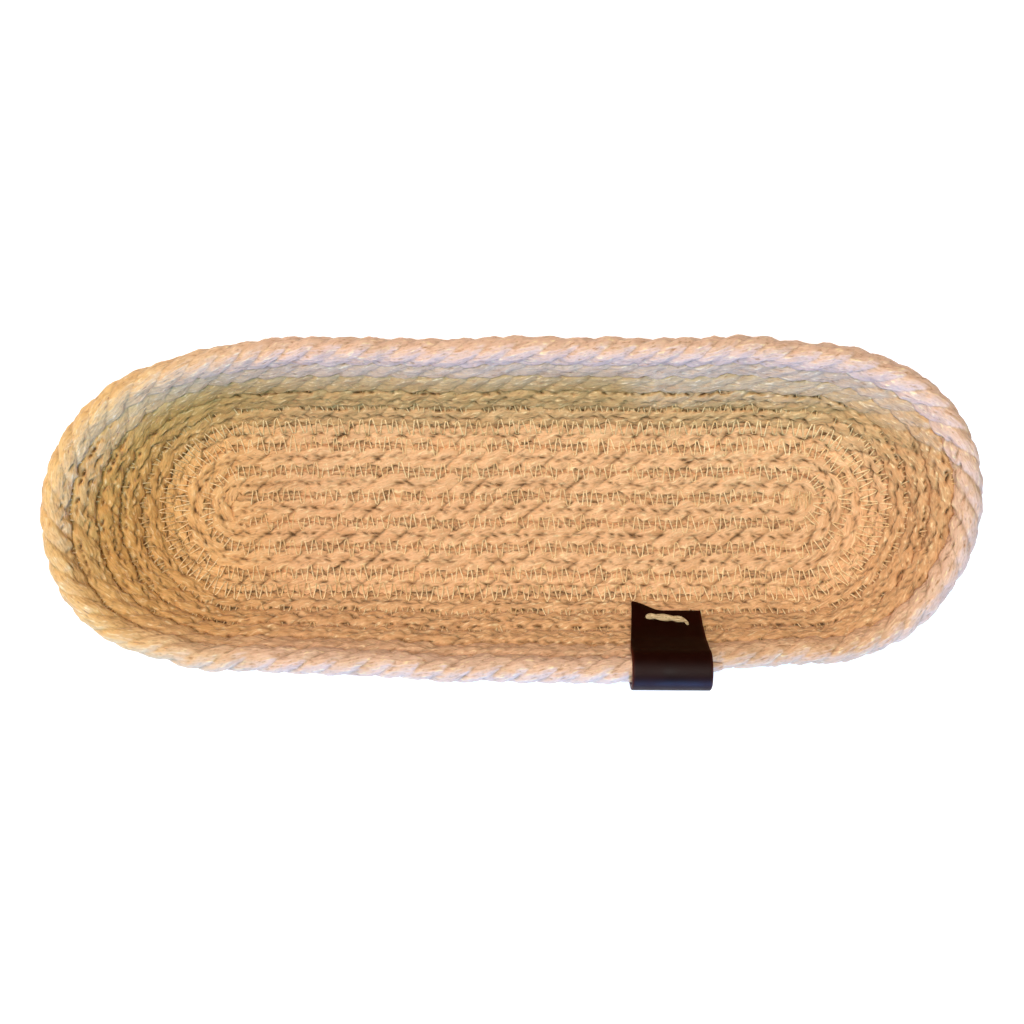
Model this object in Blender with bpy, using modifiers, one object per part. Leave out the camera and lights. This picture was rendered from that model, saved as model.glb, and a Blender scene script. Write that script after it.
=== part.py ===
"""Oval rope basket: a shallow tray wound from one length of jute rope.

The rope starts in the middle of the floor, folds back on itself at the right-hand end and winds
outwards round that first row. It lies flat for the floor, climbs for the wall and ends at the
front of the rim, where a leather tag is folded over its end and tied on with twine. A lockstitch
seam joins each course to the next: its needle thread lies in the valleys of the inside, and its
bobbin thread in those of the outside.

Metres, +Z up. X runs along the basket and the tag is at the front, towards -Y. The origin is the
middle of the first row's flat underside, on the surface that the basket stands on.
"""

import math

import bmesh
import bpy
import numpy as np
from mathutils import Matrix, Vector

# Rope
rope_diameter = 0.0077
foot_share = 0.1  # of the rope's diameter, worn flat where the floor stands
last_end_inset = 0.002  # the rope's last end, inside the tag's right edge

# Winding
turning_length = 0.181  # between the centres that the two ends turn about
floor_courses = 3  # round the first row
wall_courses = 5
climb_courses = (0, 0.35, 1.5, 2.5, 3.5, 4.5)  # past the floor, where the slopes are given
side_slopes = (0, 34, 54, 58, 67, 77)  # in degrees: the sides round up, steepest at the rim
end_slopes = (0, 62, 56, 58, 56, 50)  # the round ends turn up at once and open out

# Seam
seam_gap = 0.0007  # air between one course and the next
thread_diameter = 0.0006
clearance = 0.0003  # between pieces that touch

# Leather tag, folded over the rim
tag_centre = 0.046  # along X
tag_width = 0.024
tag_inner_flap = 0.0265  # down the wall, from the centre of the rim's rope
tag_outer_flap = 0.0265
leather_thickness = 0.0018

# Twine tie
twine_diameter = 0.002
tie_width = 0.0138  # between the two holes
tie_slant = 0.0024  # by which the right hole is nearer to the rim
tie_courses_down = 2  # the rope that the tie goes through, below the rim's
knot_diameter = 0.0042
knot_tail = 0.0065
knot_tail_spread = math.radians(28)

# Facets
turn_points = 12  # in each half turn, so 24 in a loop
section_steps = 48  # of the wall's table, in each course
line_steps = 400  # of the wall's line, in each course
lean_steps = 8  # of the change from a side's table to an end's
fold_points = 9
bend_points = 5
cut_overrun = 0.01

pitch = rope_diameter + seam_gap
rope_radius = rope_diameter / 2
half_length = turning_length / 2
rim_course = floor_courses + wall_courses
first_height = rope_radius - foot_share * rope_diameter
valley_depth = math.sqrt((rope_radius + clearance + thread_diameter / 2) ** 2 - (pitch / 2) ** 2)
rope_end = tag_centre + tag_width / 2 - last_end_inset
turn_angles = np.linspace(-math.pi / 2, math.pi / 2, turn_points)


def wall_table(lean):
    """Out and up of the rope's centre for each step of the course count.

    The line runs flat over the floor, then climbs at the slopes of a side, an end or between.
    Each course is set along it one pitch, measured straight, from the course inside it.
    """
    length = np.arange((rim_course + 1) * line_steps) * (pitch / line_steps)
    slopes = np.array(side_slopes) * (1 - lean) + np.array(end_slopes) * lean
    slope = np.radians(np.interp(length / pitch - floor_courses, climb_courses, slopes))
    out = np.cumsum(np.cos(slope)) * length[1] - length[1]
    up = np.cumsum(np.sin(slope)) * length[1]
    places = np.zeros((rim_course * section_steps + 1, 2))
    places[:section_steps + 1, 0] = np.linspace(0, pitch, section_steps + 1)
    for step in range(section_steps + 1, len(places)):
        inner_out, inner_up = places[step - section_steps]
        reach = np.hypot(out - inner_out, up - inner_up)
        reach[out < inner_out] = 0
        places[step] = (np.interp(pitch, reach, out), np.interp(pitch, reach, up))
    return places


wall_tables = np.array([wall_table(lean) for lean in np.linspace(0, 1, lean_steps + 1)])


def rope_place(course, lean):
    """Out and up of the rope's centre: lean is 0 along the sides and 1 at the tip of an end."""
    step = course * section_steps
    steps = np.arange(wall_tables.shape[1])
    lower = min(int(lean * lean_steps), lean_steps - 1)
    share = lean * lean_steps - lower
    table = wall_tables[lower] * (1 - share) + wall_tables[lower + 1] * share
    return np.array([np.interp(step, steps, table[:, axis]) for axis in (0, 1)])


def across_seam(course, lean):
    """Middle of the seam inside a half course, and the unit vector that points into the basket."""
    inner = rope_place(course - 0.5, lean)
    outer = rope_place(course + 0.5, lean)
    along = (outer - inner) / np.linalg.norm(outer - inner)
    return (inner + outer) / 2, np.array((-along[1], along[0]))


def inner_valley(course, lean):
    middle, inwards = across_seam(course, lean)
    return middle + inwards * valley_depth


def outer_valley(course, lean):
    middle, inwards = across_seam(course, lean)
    return middle - inwards * valley_depth


def right_turn(place, course):
    """Half circle from a front row to the back row one course further out, climbing with it."""
    near, far = place(course, 0)[0], place(course + 1, 0)[0]
    points = []
    for angle in turn_angles:
        share = (1 + math.sin(angle)) / 2
        out, up = place(course + share, math.cos(angle) ** 2)
        reach = (near + far) / 2 + out - (near + (far - near) * share)
        x = half_length + reach * math.cos(angle)
        y = (far - near) / 2 + reach * math.sin(angle)
        points.append((x, y, first_height + up))
    return points


def left_turn(place, course):
    """Half circle from a back row to the front row of the same course."""
    points = []
    for angle in turn_angles:
        out, up = place(course, math.cos(angle) ** 2)
        x = -half_length - out * math.cos(angle)
        points.append((x, -out * math.sin(angle), first_height + up))
    return points


def winding(place, first_course, first_point):
    """The whole route of the rope or of a thread, from its first point to under the tag."""
    points = [first_point]
    course = first_course
    while course < rim_course - 0.75:
        points += right_turn(place, course)
        course += 1
        points += left_turn(place, course)
    out, up = place(course, 0)
    points.append((rope_end, -out, first_height + up))
    return points


def seam(place):
    """The route of one thread, which starts inside the rope's first fold."""
    out, up = place(0.5, 0)
    first_point = (half_length, out, first_height + up)
    around_start = left_turn(place, 0.5)
    return [first_point] + around_start + winding(place, 0.5, around_start[-1])[1:]


def least_gap(points, diameter):
    """Least air between the turns of a tube, from samples of its line to its other segments."""
    points = np.array(points)
    starts, runs = points[:-1], np.diff(points, axis=0)
    lengths = np.linalg.norm(runs, axis=1)
    along = np.concatenate(((0,), np.cumsum(lengths)))
    stations = np.arange(0, along[-1], diameter / 4)
    samples = np.stack([np.interp(stations, along, points[:, axis]) for axis in range(3)], axis=1)
    least = math.inf
    for start, run, length, begun in zip(starts, runs, lengths, along):
        share = np.clip((samples - start) @ run / length ** 2, 0, 1)
        distance = np.linalg.norm(samples - start - share[:, None] * run, axis=1)
        apart = np.abs(begun + share * length - stations) > math.pi * diameter
        if apart.any():
            least = min(least, distance[apart].min() - diameter)
    return least


def material(name, colour, roughness):
    made = bpy.data.materials.new(name)
    made.use_nodes = True
    shader = made.node_tree.nodes["Principled BSDF"]
    shader.inputs["Base Color"].default_value = (*colour, 1)
    shader.inputs["Roughness"].default_value = roughness
    return made


def tube(name, points, diameter, resolution, closed=False, twist="Z_UP"):
    """A round cord along the points, as a curve."""
    curve = bpy.data.curves.new(name, "CURVE")
    curve.dimensions = "3D"
    curve.twist_mode = twist
    curve.bevel_depth = diameter / 2
    curve.bevel_resolution = resolution
    curve.use_fill_caps = not closed
    spline = curve.splines.new("POLY")
    spline.points.add(len(points) - 1)
    for point, place in zip(spline.points, points):
        point.co = (*place, 1)
    spline.use_cyclic_u = closed
    spline.use_smooth = True
    made = bpy.data.objects.new(name, curve)
    parts.objects.link(made)
    return made


def as_mesh(made):
    """The same object as a mesh, with the loose caps of its curve welded on."""
    bpy.context.view_layer.update()
    graph = bpy.context.evaluated_depsgraph_get()
    mesh = bpy.data.meshes.new_from_object(made.evaluated_get(graph))
    work = bmesh.new()
    work.from_mesh(mesh)
    bmesh.ops.remove_doubles(work, verts=work.verts, dist=clearance / 100)
    work.to_mesh(mesh)
    work.free()
    name, place, curve = made.name, made.matrix_world.copy(), made.data
    bpy.data.objects.remove(made)
    bpy.data.curves.remove(curve)
    mesh.name = name
    solid = bpy.data.objects.new(name, mesh)
    solid.matrix_world = place
    parts.objects.link(solid)
    return solid


def cut(made, cutter, operation="DIFFERENCE"):
    boolean = made.modifiers.new(cutter.name, "BOOLEAN")
    boolean.operation = operation
    boolean.object = cutter
    boolean.solver = "EXACT"


def to_cutters(made):
    for collection in list(made.users_collection):
        collection.objects.unlink(made)
    cutters.objects.link(made)
    made.hide_render = True
    made.display_type = "WIRE"
    return made


def front_wall(course):
    """Point of the rope's centre on the front wall, and unit vectors up the wall and inwards."""
    place = rope_place(course, 0)
    below = rope_place(course - 0.5, 0)
    above = rope_place(min(course + 0.5, rim_course), 0)
    up_wall = (above - below) / np.linalg.norm(above - below)
    point = Vector((tag_centre, -place[0], first_height + place[1]))
    climb = Vector((0, -up_wall[0], up_wall[1]))
    inwards = Vector((0, up_wall[1], up_wall[0]))
    return point, climb, inwards


def flap(length, offset):
    """Points down one face of the wall, from the rim to the end of a flap."""
    count = math.ceil(2 * length / pitch)
    points = []
    for share in np.linspace(0, 1, count + 1)[1:]:
        point, climb, inwards = front_wall(rim_course - share * length / pitch)
        points.append(point + inwards * offset)
    return points


def build_rope():
    route = winding(rope_place, 0, (-half_length, 0, first_height))
    print("rope_coil least gap to itself, mm:", round(least_gap(route, rope_diameter) * 1000, 3))
    rope = as_mesh(tube("rope_coil", route, rope_diameter, 1))
    rope.data.materials.append(material("jute_rope", (0.58, 0.35, 0.15), 0.85))
    reach = 2 * (half_length + wall_tables[-1, -1, 0] + cut_overrun)
    bpy.ops.mesh.primitive_cube_add(size=1)
    ground = bpy.context.object
    ground.name = "ground_cut"
    ground.matrix_world = Matrix.LocRotScale(
        Vector((0, 0, -cut_overrun / 2)), None, Vector((reach, reach, cut_overrun))
    )
    cut(rope, to_cutters(ground))
    return rope


def build_threads():
    thread = material("waxed_thread", (0.80, 0.68, 0.47), 0.6)
    for name, valley in (("needle_thread", inner_valley), ("bobbin_thread", outer_valley)):
        route = seam(valley)
        print(name, "least gap to itself, mm:", round(least_gap(route, thread_diameter) * 1000, 3))
        tube(name, route, thread_diameter, 0).data.materials.append(thread.copy())


def build_tag():
    """A strip of leather over the rim, made as a ribbon on its middle line and thickened."""
    offset = rope_radius + clearance + leather_thickness / 2
    rim, climb, inwards = front_wall(rim_course)
    fold = [
        rim + inwards * (offset * math.cos(angle)) + climb * (offset * math.sin(angle))
        for angle in np.linspace(0, math.pi, fold_points)
    ]
    middle_line = flap(tag_inner_flap, offset)[::-1] + fold + flap(tag_outer_flap, -offset)
    strip = bpy.data.curves.new("leather_tag", "CURVE")
    strip.dimensions = "2D"
    strip.fill_mode = "NONE"
    strip.extrude = tag_width / 2
    spline = strip.splines.new("POLY")
    spline.points.add(len(middle_line) - 1)
    for point, place in zip(spline.points, middle_line):
        point.co = (place.y, place.z, 0, 1)
    ribbon = bpy.data.objects.new("leather_tag", strip)
    parts.objects.link(ribbon)
    across = Matrix(((0, 0, 1), (1, 0, 0), (0, 1, 0))).to_4x4()
    ribbon.matrix_world = Matrix.Translation(Vector((tag_centre, 0, 0))) @ across
    tag = as_mesh(ribbon)
    tag.data.materials.append(material("tag_leather", (0.016, 0.006, 0.004), 0.45))
    thickness = tag.modifiers.new("leather", "SOLIDIFY")
    thickness.thickness = leather_thickness
    thickness.offset = 0
    thickness.use_even_offset = True
    return tag


def tie_frame():
    """Middle of the tie in the wall, its line across the two holes and the wall's inward normal."""
    point, climb, inwards = front_wall(rim_course - tie_courses_down)
    across = Vector((tie_width, 0, 0)) + climb * tie_slant
    return point, across, inwards


def bore_tie(rope, tag):
    """Two holes through both flaps and the rope between them."""
    point, across, inwards = tie_frame()
    depth = 2 * (rope_radius + clearance + leather_thickness + cut_overrun)
    for name, side in (("left_hole", -1), ("right_hole", 1)):
        bpy.ops.mesh.primitive_cylinder_add(
            vertices=12, radius=twine_diameter / 2 + clearance, depth=depth
        )
        hole = bpy.context.object
        hole.name = name
        turn = inwards.to_track_quat("Z", "Y")
        hole.matrix_world = Matrix.LocRotScale(point + across * (side / 2), turn, None)
        to_cutters(hole)
        cut(rope, hole)
        cut(tag, hole)


def build_twine():
    """A loop through the two holes, its bar inside and its knot outside, with two short tails."""
    point, across, inwards = tie_frame()
    along = across.normalized()
    tag_face = rope_radius + clearance + leather_thickness
    half_depth = tag_face + clearance + twine_diameter / 2
    half_width = across.length / 2
    bend = twine_diameter / 2 + clearance
    loop = []
    for quarter in range(4):
        side_x = (1, -1, -1, 1)[quarter]
        side_z = (1, 1, -1, -1)[quarter]
        for angle in np.linspace(quarter * math.pi / 2, (quarter + 1) * math.pi / 2, bend_points):
            reach_x = side_x * (half_width - bend) + bend * math.cos(angle)
            reach_z = side_z * (half_depth - bend) + bend * math.sin(angle)
            loop.append(point + along * reach_x + inwards * reach_z)
    twine = as_mesh(tube("tag_twine", loop, twine_diameter, 2, closed=True, twist="MINIMUM"))
    twine.data.materials.append(material("jute_twine", (0.66, 0.44, 0.22), 0.8))
    knot_place = point - inwards * (tag_face + clearance + knot_diameter / 2)
    bpy.ops.mesh.primitive_uv_sphere_add(
        segments=12, ring_count=8, radius=knot_diameter / 2, location=knot_place
    )
    knot = bpy.context.object
    knot.name = "knot"
    cut(twine, to_cutters(knot), "UNION")
    down_wall = inwards.cross(Vector((1, 0, 0))).normalized()
    for name, side in (("left_tail", -1), ("right_tail", 1)):
        lean = side * knot_tail_spread
        heading = down_wall * math.cos(lean) + Vector((1, 0, 0)) * math.sin(lean)
        tail_end = knot_place + heading * (knot_diameter / 2 + knot_tail)
        tail = as_mesh(tube(name, [knot_place, tail_end], twine_diameter, 2, twist="MINIMUM"))
        cut(twine, to_cutters(tail), "UNION")


for old in list(bpy.data.objects):
    bpy.data.objects.remove(old)
parts = bpy.data.collections.new("oval_basket")
cutters = bpy.data.collections.new("cutters")
bpy.context.scene.collection.children.link(parts)
bpy.context.scene.collection.children.link(cutters)

rope_coil = build_rope()
build_threads()
leather_tag = build_tag()
bore_tie(rope_coil, leather_tag)
build_twine()
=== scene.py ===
import math

import bpy
import numpy as np
from mathutils import Matrix, Vector, kdtree


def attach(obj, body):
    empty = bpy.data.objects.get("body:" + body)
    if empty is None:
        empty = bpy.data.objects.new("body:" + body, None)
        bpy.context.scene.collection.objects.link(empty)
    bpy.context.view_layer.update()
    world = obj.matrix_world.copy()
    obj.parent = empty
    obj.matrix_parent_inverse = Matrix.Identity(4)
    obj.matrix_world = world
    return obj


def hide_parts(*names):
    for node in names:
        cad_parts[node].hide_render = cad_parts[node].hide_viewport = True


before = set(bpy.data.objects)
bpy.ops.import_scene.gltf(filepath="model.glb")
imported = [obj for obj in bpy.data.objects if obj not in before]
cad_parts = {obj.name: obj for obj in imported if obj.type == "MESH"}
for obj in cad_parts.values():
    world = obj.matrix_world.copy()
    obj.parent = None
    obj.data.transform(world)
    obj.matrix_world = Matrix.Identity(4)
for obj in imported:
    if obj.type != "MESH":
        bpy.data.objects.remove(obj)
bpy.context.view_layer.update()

# An oval basket, 285 mm long, wound from one length of jute rope. Sizes are in metres, with +Z up.
# It is made here in the order of the real one: the rope is wound and sewn, then the tag is tied on.


# The rope. One length of natural jute, three strands laid up, softly spun and hairy. It starts in
# the middle of the floor, folds back at the right and is wound outwards, flat for three courses
# and then up the wall for five, and its end tapers off beside the tag.
rope_radius = 0.0040
pitch = 0.0084  # from one course to the next
half_length = 0.0905  # from the middle to the centres that the ends turn about
floor_courses, rim_course = 3, 8
last_start = rim_course - 0.75  # a winding that has come so far ends with its next front row
climb_courses = (0, 0.35, 1.5, 2.5, 3.5, 4.5)  # past the floor, where the slopes are given
side_slopes = (0, 34, 54, 58, 67, 77)  # in degrees
end_slopes = (0, 62, 56, 58, 56, 50)
lean_steps = 8  # of the change from a side's slopes to an end's
first_height = 0.00308  # of the rope's line in the floor
rope_end = 0.0620  # along X
rope_nose = 0.0046  # of the start, past the left turning centre
fine_steps, table_steps = 400, 48  # to a course, of the wall's line and of its table
stretch_points = 160  # of a row or half turn
rope_step = 0.0005
inside_angles, outside_angles = 36, 20  # round the rope, closer where the tray is seen from
lay_length = 0.0252  # in which the strands turn once
strand_circle, strand_centre = 0.64, 0.36  # of the rope's radius
yarns_round = 20
yarn_depth = 0.00026
lump_depth = 0.00055
cleft_depth = 0.00045  # between two strands
pit_depth = 0.00120  # past a needle hole
gap_depth = 0.00270  # in the valley between two courses
crowd_width = 0.00427  # half the width of a course that is pressed between its neighbours
crowd_power = 6.4  # of the superellipse that it is pressed to
end_taper = 0.020  # before the rope's end
nose_shift, nose_taper = 0.0004, 0.0014  # of the start's rounding


def wall_table(lean):
    """Out and up of the rope's centre, table_steps to a course.

    The line is flat over the floor and then climbs at the slopes of a side, an end or between.
    Each station is the point of that line one pitch, measured straight, beyond the station one
    course before it."""
    length = np.arange((rim_course + 1) * fine_steps) * (pitch / fine_steps)
    slopes = np.array(side_slopes) * (1 - lean) + np.array(end_slopes) * lean
    slope = np.radians(np.interp(length / pitch - floor_courses, climb_courses, slopes))
    out = np.cumsum(np.cos(slope)) * length[1] - length[1]
    up = np.cumsum(np.sin(slope)) * length[1]
    places = np.zeros((rim_course * table_steps + 1, 2))
    places[:table_steps + 1, 0] = np.linspace(0, pitch, table_steps + 1)
    for step in range(table_steps + 1, len(places)):
        inner = places[step - table_steps]
        reach = np.where(out < inner[0], 0, np.hypot(out - inner[0], up - inner[1]))
        places[step] = (np.interp(pitch, reach, out), np.interp(pitch, reach, up))
    return places


wall_tables = np.array([wall_table(lean) for lean in np.linspace(0, 1, lean_steps + 1)])


def wall_place(course, lean):
    """Out and up at a course, read between the four nearest entries of the tables."""
    course, lean = np.broadcast_arrays(course, lean)
    step, level = course * table_steps, lean * lean_steps
    i = np.clip(step.astype(int), 0, wall_tables.shape[1] - 2)
    j = np.clip(level.astype(int), 0, lean_steps - 1)
    u, v = np.clip(step - i, 0, 1)[..., None], (level - j)[..., None]
    low = wall_tables[j, i] * (1 - u) + wall_tables[j, i + 1] * u
    high = wall_tables[j + 1, i] * (1 - u) + wall_tables[j + 1, i + 1] * u
    place = low * (1 - v) + high * v
    return place[..., 0], place[..., 1]


def stretch(kind, course, between):
    """One row or half turn of the winding, as columns x, y, z, outward, inward and course.

    A point is foot + heading * out, lifted by up, where out and up are the means of their values
    at course - between and course + between. A left turn is a half circle about the left centre. A
    right turn's centre lies half a step towards the back, as its course grows by one."""
    share = np.linspace(0, 1, stretch_points)
    zero = np.zeros_like(share)
    turn = math.pi * (share - 0.5)
    courses, lean, extra = course + zero, np.cos(turn) ** 2, zero
    if kind == "right":
        near, far = (
            (wall_place(c - between, 0.0)[0] + wall_place(c + between, 0.0)[0]) / 2
            for c in (course, course + 1)
        )
        rise = (1 + np.sin(turn)) / 2
        courses = course + rise
        foot, heading = (half_length + zero, zero + (far - near) / 2), (np.cos(turn), np.sin(turn))
        extra = (near + far) / 2 - (near + (far - near) * rise)
    elif kind == "left":
        foot, heading = (zero - half_length, zero), (-np.cos(turn), -np.sin(turn))
    elif kind == "back":
        lean = zero
        foot, heading = (half_length - 2 * half_length * share, zero), (zero, zero + 1)
    else:
        lean = zero
        last = rope_end if course > last_start else half_length
        start = -half_length - (rope_nose if course == 0 else 0)
        foot, heading = (start + (last - start) * share, zero), (zero, zero - 1)
    inner, outer = wall_place(courses - between, lean), wall_place(courses + between, lean)
    out, up = (inner[0] + outer[0]) / 2 + extra, (inner[1] + outer[1]) / 2
    below, above = wall_place(courses - 0.5, lean), wall_place(courses + 0.5, lean)
    slope = np.arctan2(above[1] - below[1], above[0] - below[0])
    return np.column_stack((
        foot[0] + heading[0] * out, foot[1] + heading[1] * out, first_height + up,
        heading[0] * np.cos(slope), heading[1] * np.cos(slope), np.sin(slope),
        -heading[0] * np.sin(slope), -heading[1] * np.sin(slope), np.cos(slope), courses,
    ))


def unit(vectors):
    """Each vector divided by its length."""
    return vectors / np.linalg.norm(vectors, axis=-1, keepdims=True)


def wound_line(opening, first_course, between, step):
    """The whole winding at an even step: point, outward, inward, course and distance along."""
    stretches = [stretch(kind, first_course, between) for kind in opening]
    course = first_course
    while course < last_start:
        stretches.append(stretch("right", course, between))
        course += 1
        stretches += [stretch(kind, course, between) for kind in ("back", "left", "front")]
    rows = np.concatenate([part[:-1] for part in stretches] + [stretches[-1][-1:]])
    along = np.concatenate(([0], np.cumsum(np.linalg.norm(np.diff(rows[:, :3], axis=0), axis=1))))
    even = np.arange(0, along[-1], step)
    rows = np.column_stack([np.interp(even, along, column) for column in rows.T])
    point, outward, inward = rows[:, :3], unit(rows[:, 3:6]), unit(rows[:, 6:9])
    return settled(point), outward, inward, rows[:, 9], even


# How far the handmade wall has drifted along Y at the rim, in metres, at places along X
drift_places = (-0.150, -0.125, -0.105, -0.085, -0.065, -0.045, -0.020, 0.010, 0.040, 0.066,
                0.090, 0.110, 0.130, 0.150)
front_drift = (-0.0037, -0.0010, 0.0016, 0.0010, 0.0001, -0.0006, -0.0015, -0.0022, -0.0016,
               -0.0006, 0.0020, 0.0014, 0.0010, 0.0007)
back_drift = (-0.0010, -0.0041, -0.0043, -0.0009, 0.0008, 0.0004, 0.0006, 0.0008, 0.0008, 0.0015,
              -0.0007, -0.0011, 0.0010, 0.0032)
left_drift, right_drift = -0.0014, -0.0011  # along X, past the turning centres
side_blend, end_blend = 0.060, 0.030  # over which the front's drift becomes the back's, and an end's grows
rim_height = 0.0375
# The courses' waves to the side and upwards: reach, radians a metre along X and along Y, and phase
side_waves = ((0.00022, 95, 0, 0.6), (0.00016, 171, 0, 2.0), (0.00012, 260, 40, 0))
lift_waves = ((0.00030, 63, 0, 1.1), (0.00022, 118, 55, 0))


def settled(points):
    """The same points on the handmade basket: y and x drift with height by the tables, and every
    course wanders to the side and up and down by slow sine waves."""
    x, y, z = points[..., 0], points[..., 1], points[..., 2]
    height = np.clip((z - first_height) / (rim_height - first_height), 0, 1.1)
    front = np.clip(0.5 - y / side_blend, 0, 1)
    drift = np.interp(x, drift_places, front_drift) * front
    drift = drift + np.interp(x, drift_places, back_drift) * (1 - front)
    ends = np.clip((np.abs(x) - half_length) / end_blend, 0, 1)
    aside, lift = (
        sum(reach * np.sin(x * along_x + y * along_y + phase) for reach, along_x, along_y, phase in waves)
        for waves in (side_waves, lift_waves)
    )
    moved = points.copy()
    moved[..., 0] = x + np.where(x < 0, left_drift, right_drift) * ends * height
    moved[..., 1] = y + drift * height + aside
    moved[..., 2] = z + lift * height
    return moved


def uneven(along, around, cell, cells_round, seed):
    """Smooth noise from -1 to 1 on the rope's skin: random values on a lattice of cells, joined by
    a smooth step along and around, which closes on itself round the rope."""
    rows = int(along.max() / cell) + 3
    lattice = np.random.default_rng(seed).uniform(-1, 1, (rows, cells_round))
    u, v = along / cell, (around / (2 * math.pi)) % 1 * cells_round
    i, j = np.floor(u).astype(int), np.floor(v).astype(int)
    fu, fv = u - i, v - j
    fu, fv = fu * fu * (3 - 2 * fu), fv * fv * (3 - 2 * fv)
    j, k = j % cells_round, (j + 1) % cells_round
    low = lattice[i, j] * (1 - fv) + lattice[i, k] * fv
    high = lattice[i + 1, j] * (1 - fv) + lattice[i + 1, k] * fv
    return low * (1 - fu) + high * fu


def tube_mesh(name, line, side, rise, side_reach, rise_reach, attributes=None):
    """Tubes as one mesh: a profile carried along each line.

    Point (tube, station, corner) = line + side * side_reach + rise * rise_reach. Side cross rise
    points back along the line, so that the faces look outwards. A flat face closes both ends."""
    points = (line[:, :, None, :] + side[:, :, None, :] * side_reach[..., None]
              + rise[:, :, None, :] * rise_reach[..., None])
    tubes, stations, corners = points.shape[:3]
    index = np.arange(tubes * stations * corners).reshape(tubes, stations, corners)
    after = np.roll(index, -1, axis=2)
    quads = np.stack((index[:, :-1], index[:, 1:], after[:, 1:], after[:, :-1]), axis=-1)
    caps = np.concatenate((index[:, 0], index[:, -1, ::-1]))
    loops = np.concatenate((quads.reshape(-1), caps.reshape(-1)))
    wall_count, cap_count = quads.size // 4, len(caps)
    starts = np.concatenate((np.arange(wall_count) * 4, wall_count * 4 + np.arange(cap_count) * corners))
    mesh = bpy.data.meshes.new(name)
    mesh.vertices.add(index.size)
    mesh.vertices.foreach_set("co", points.reshape(-1))
    mesh.loops.add(len(loops))
    mesh.loops.foreach_set("vertex_index", loops)
    mesh.polygons.add(len(starts))
    mesh.polygons.foreach_set("loop_start", starts)
    mesh.update(calc_edges=True)
    for label, values in (attributes or {}).items():
        kind, field = ("FLOAT_VECTOR", "vector") if values.shape[-1] == 3 else ("FLOAT", "value")
        mesh.attributes.new(label, kind, "POINT").data.foreach_set(field, values.reshape(-1))
    mesh.shade_smooth()
    mesh.set_sharp_from_angle(angle=math.radians(75))
    piece = bpy.data.objects.new(name, mesh)
    bpy.context.scene.collection.objects.link(piece)
    return piece


def linear(hex_colour):
    """sRGB hex colour as linear red, green, blue and alpha."""
    parts = [int(hex_colour[i:i + 2], 16) / 255 for i in (1, 3, 5)]
    return [c / 12.92 if c <= 0.04045 else ((c + 0.055) / 1.055) ** 2.4 for c in parts] + [1]


def connect(tree, made, **inputs):
    """The node with its inputs, each set to a value or linked from a socket. In a label a space is
    an underscore, and _6 is the input of that number."""
    for label, value in inputs.items():
        socket = made.inputs[int(label[1:]) if label[1:].isdigit() else label.replace("_", " ")]
        if isinstance(value, bpy.types.NodeSocket):
            tree.links.new(value, socket)
        else:
            socket.default_value = value
    return made


def node(tree, kind, settings=None, stops=(), **inputs):
    """A new node with its settings and inputs, and for a ramp its stops, as place and hex colour."""
    made = tree.nodes.new(kind)
    for label, value in (settings or {}).items():
        setattr(made, label, value)
    for index, (place, colour) in enumerate(stops):
        elements = made.color_ramp.elements
        element = elements[index] if index < 2 else elements.new(place)
        element.position, element.color = place, linear(colour)
    return connect(tree, made, **inputs)


def new_material(name):
    """An empty Principled material, its node tree and its shader."""
    made = bpy.data.materials.new(name)
    made.use_nodes = True
    return made, made.node_tree, made.node_tree.nodes["Principled BSDF"]


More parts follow.
